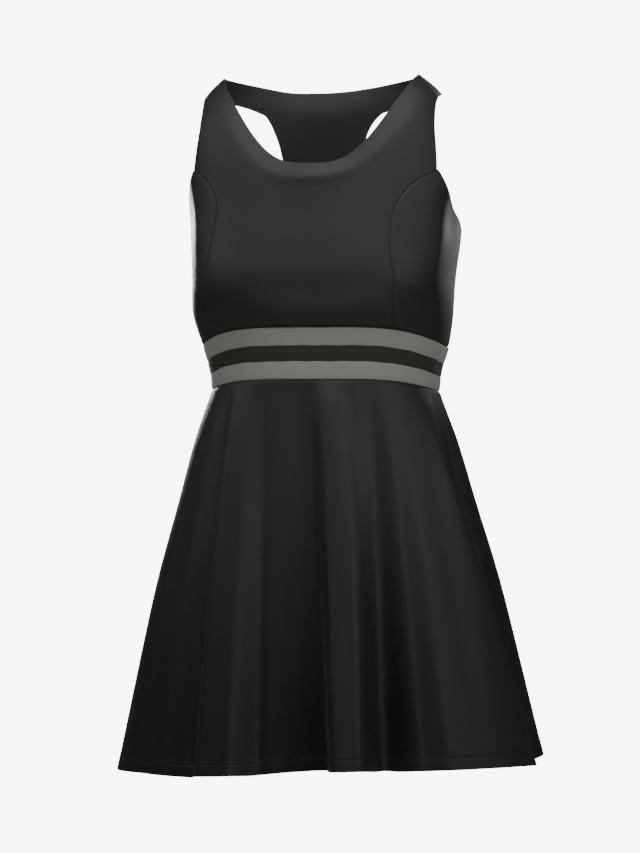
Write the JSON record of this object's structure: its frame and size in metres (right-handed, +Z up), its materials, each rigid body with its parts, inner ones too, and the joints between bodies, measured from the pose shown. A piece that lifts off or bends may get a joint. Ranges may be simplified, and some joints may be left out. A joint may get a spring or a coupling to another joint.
{
  "type": "pickleball dress",
  "caption": "Sleeveless flared sports dress with a scoop neck, racerback, curved front seams and a striped waistband, filled out as worn.",
  "frame": {"origin": "midway between the two shoulder straps, at the height of their neck edges, where the dress is held up", "axes": "+X to the wearer's left, -Y to the wearer's front, +Z up"},
  "size_m": [0.4793, 0.3743, 0.7885],
  "materials": {
    "black_jersey": "smooth matt stretch jersey with a faint sheen",
    "grey_webbing": "matt elastic webbing",
    "black_webbing": "matt elastic webbing"
  },
  "bodies": {
    "root": {"bodice_front": "black_jersey", "bodice_side_right": "black_jersey", "bodice_side_left": "black_jersey", "bodice_back": "black_jersey", "waistband_upper": "grey_webbing", "waistband_middle": "black_webbing", "waistband_lower": "grey_webbing", "skirt_front": "black_jersey", "skirt_back": "black_jersey"}
  },
  "joints": []
}
